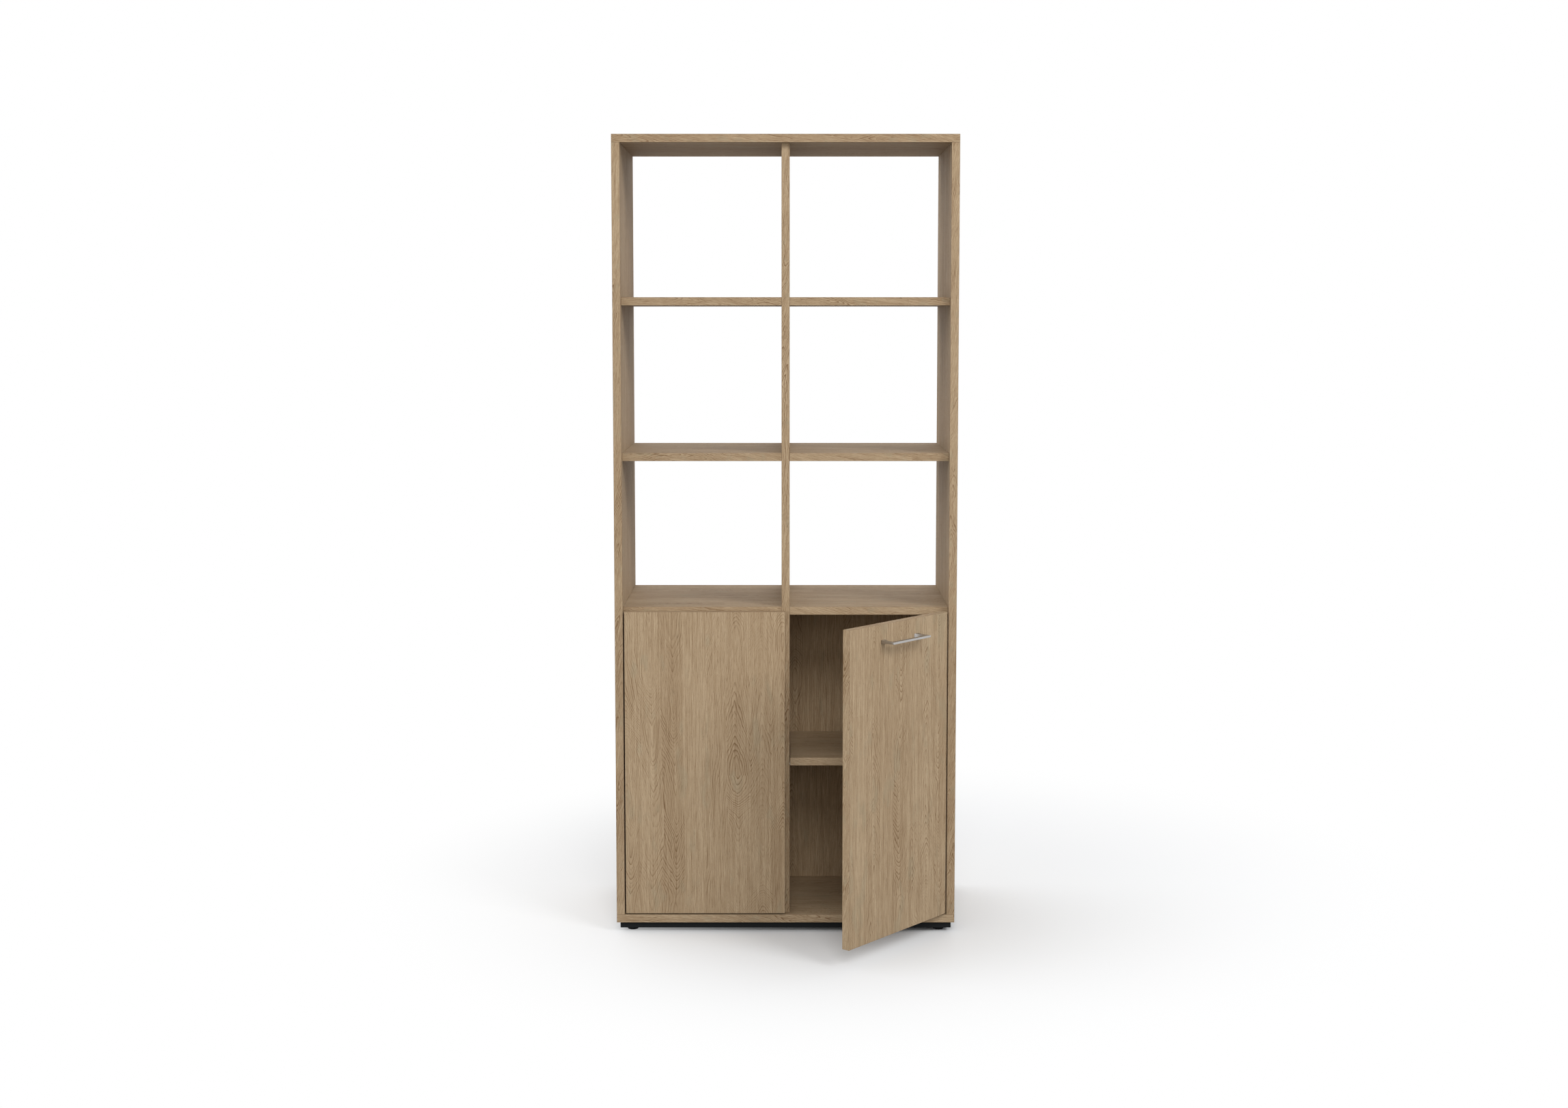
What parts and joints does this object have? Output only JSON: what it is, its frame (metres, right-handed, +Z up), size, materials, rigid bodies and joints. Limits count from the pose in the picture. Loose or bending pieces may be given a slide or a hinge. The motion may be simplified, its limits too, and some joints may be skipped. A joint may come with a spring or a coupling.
{
  "type": "bookcase with cabinet doors",
  "caption": "Tall narrow wood-grain bookcase: open tiers either side of a centre partition, over a low cabinet with hinged doors, on a black steel base with levelling feet.",
  "frame": {"origin": "on the floor, at the middle of the box round the bookcase and its part-open right door", "axes": "+X to the viewer's right, +Y to the back, +Z up"},
  "size_m": [0.8, 0.7124, 1.8715],
  "materials": {
    "oak_board": "greyish oak wood-grain melamine on chipboard, matt, edges taped to match",
    "dowel_wood": "plain beech, fluted dowels, unfinished",
    "black_steel": "black powder coat, matt",
    "black_plastic": "moulded black plastic, matt",
    "satin_metal": "satin nickel on a die casting",
    "nickelled_steel": "bright nickel plate"
  },
  "bodies": {
    "carcass": {"top_board": "oak_board", "bottom_board": "oak_board", "side_right": "oak_board", "side_left": "oak_board", "centre_partition": "oak_board", "upper_shelf_right": "oak_board", "upper_shelf_left": "oak_board", "middle_shelf_right": "oak_board", "middle_shelf_left": "oak_board", "cabinet_top_right": "oak_board", "cabinet_top_left": "oak_board", "back_panel_right": "oak_board", "back_panel_left": "oak_board", "dowels": "dowel_wood", "partition_dowels": "dowel_wood", "loose_shelf_right": "oak_board", "loose_shelf_left": "oak_board", "shelf_pins": "nickelled_steel", "hinge_arm_lower_left": "nickelled_steel", "hinge_plate_lower_left": "nickelled_steel", "hinge_arm_pins": "nickelled_steel", "hinge_plate_screws": "nickelled_steel", "hinge_arm_screws": "nickelled_steel", "hinge_arm_upper_left": "nickelled_steel", "hinge_plate_upper_left": "nickelled_steel", "hinge_arm_lower_right": "nickelled_steel", "hinge_plate_lower_right": "nickelled_steel", "hinge_arm_upper_right": "nickelled_steel", "hinge_plate_upper_right": "nickelled_steel", "base_rail_front": "black_steel", "base_rail_back": "black_steel", "base_rail_right": "black_steel", "base_rail_left": "black_steel", "base_screws": "nickelled_steel", "base_corner_plates": "black_steel"},
    "right_door": {"door_right": "oak_board", "hinge_cup_lower_right": "nickelled_steel", "hinge_cup_pins_right": "nickelled_steel", "hinge_cup_screws_right": "nickelled_steel", "hinge_cup_upper_right": "nickelled_steel", "door_handle": "satin_metal", "handle_screws": "nickelled_steel"},
    "left_door": {"door_left": "oak_board", "hinge_cup_lower_left": "nickelled_steel", "hinge_cup_pins_left": "nickelled_steel", "hinge_cup_screws_left": "nickelled_steel", "hinge_cup_upper_left": "nickelled_steel"},
    "arm_links_left": {"hinge_arm_links_left": "nickelled_steel"},
    "cup_links_left": {"hinge_cup_links_left": "nickelled_steel"},
    "arm_links_right": {"hinge_arm_links_right": "nickelled_steel"},
    "cup_links_right": {"hinge_cup_links_right": "nickelled_steel"},
    "foot_front_left": {"levelling_foot_front_left": "black_plastic"},
    "foot_front_right": {"levelling_foot_front_right": "black_plastic"},
    "foot_back_left": {"levelling_foot_back_left": "black_plastic"},
    "foot_back_right": {"levelling_foot_back_right": "black_plastic"}
  },
  "joints": [
    {"name": "right_door_hinge", "type": "hinge", "parent": "carcass", "child": "right_door", "pos_m": [0.378, -0.0637, 0.4065], "axis": [0, 0, 1], "range_deg": [-51, 49]},
    {"name": "left_door_hinge", "type": "hinge", "parent": "carcass", "child": "left_door", "pos_m": [-0.378, -0.0637, 0.4065], "axis": [0, 0, -1], "range_deg": [0, 100]},
    {"name": "right_arm_link_pivot", "type": "hinge", "parent": "carcass", "child": "arm_links_right", "pos_m": [0.352, -0.0417, 0.4065], "axis": [0, 0, 1], "range_deg": [-51, 49]},
    {"name": "right_cup_link_pivot", "type": "hinge", "parent": "right_door", "child": "cup_links_right", "pos_m": [0.35753, -0.06514, 0.4065], "axis": [0, 0, 1], "range_deg": [-49, 51]},
    {"name": "left_arm_link_pivot", "type": "hinge", "parent": "carcass", "child": "arm_links_left", "pos_m": [-0.352, -0.0417, 0.4065], "axis": [0, 0, -1], "range_deg": [0, 100]},
    {"name": "left_cup_link_pivot", "type": "hinge", "parent": "left_door", "child": "cup_links_left", "pos_m": [-0.364, -0.0487, 0.4065], "axis": [0, 0, -1], "range_deg": [-100, 0]},
    {"name": "foot_front_left_screw", "type": "slide", "parent": "carcass", "child": "foot_front_left", "axis": [0, 0, -1], "range_m": [0, 0.008]},
    {"name": "foot_front_right_screw", "type": "slide", "parent": "carcass", "child": "foot_front_right", "axis": [0, 0, -1], "range_m": [0, 0.008]},
    {"name": "foot_back_left_screw", "type": "slide", "parent": "carcass", "child": "foot_back_left", "axis": [0, 0, -1], "range_m": [0, 0.008]},
    {"name": "foot_back_right_screw", "type": "slide", "parent": "carcass", "child": "foot_back_right", "axis": [0, 0, -1], "range_m": [0, 0.008]}
  ],
  "couplings": [
    {"joint": "right_arm_link_pivot", "follows": "right_door_hinge", "ratio": 1},
    {"joint": "right_cup_link_pivot", "follows": "right_door_hinge", "ratio": -1},
    {"joint": "left_arm_link_pivot", "follows": "left_door_hinge", "ratio": 1},
    {"joint": "left_cup_link_pivot", "follows": "left_door_hinge", "ratio": -1}
  ]
}
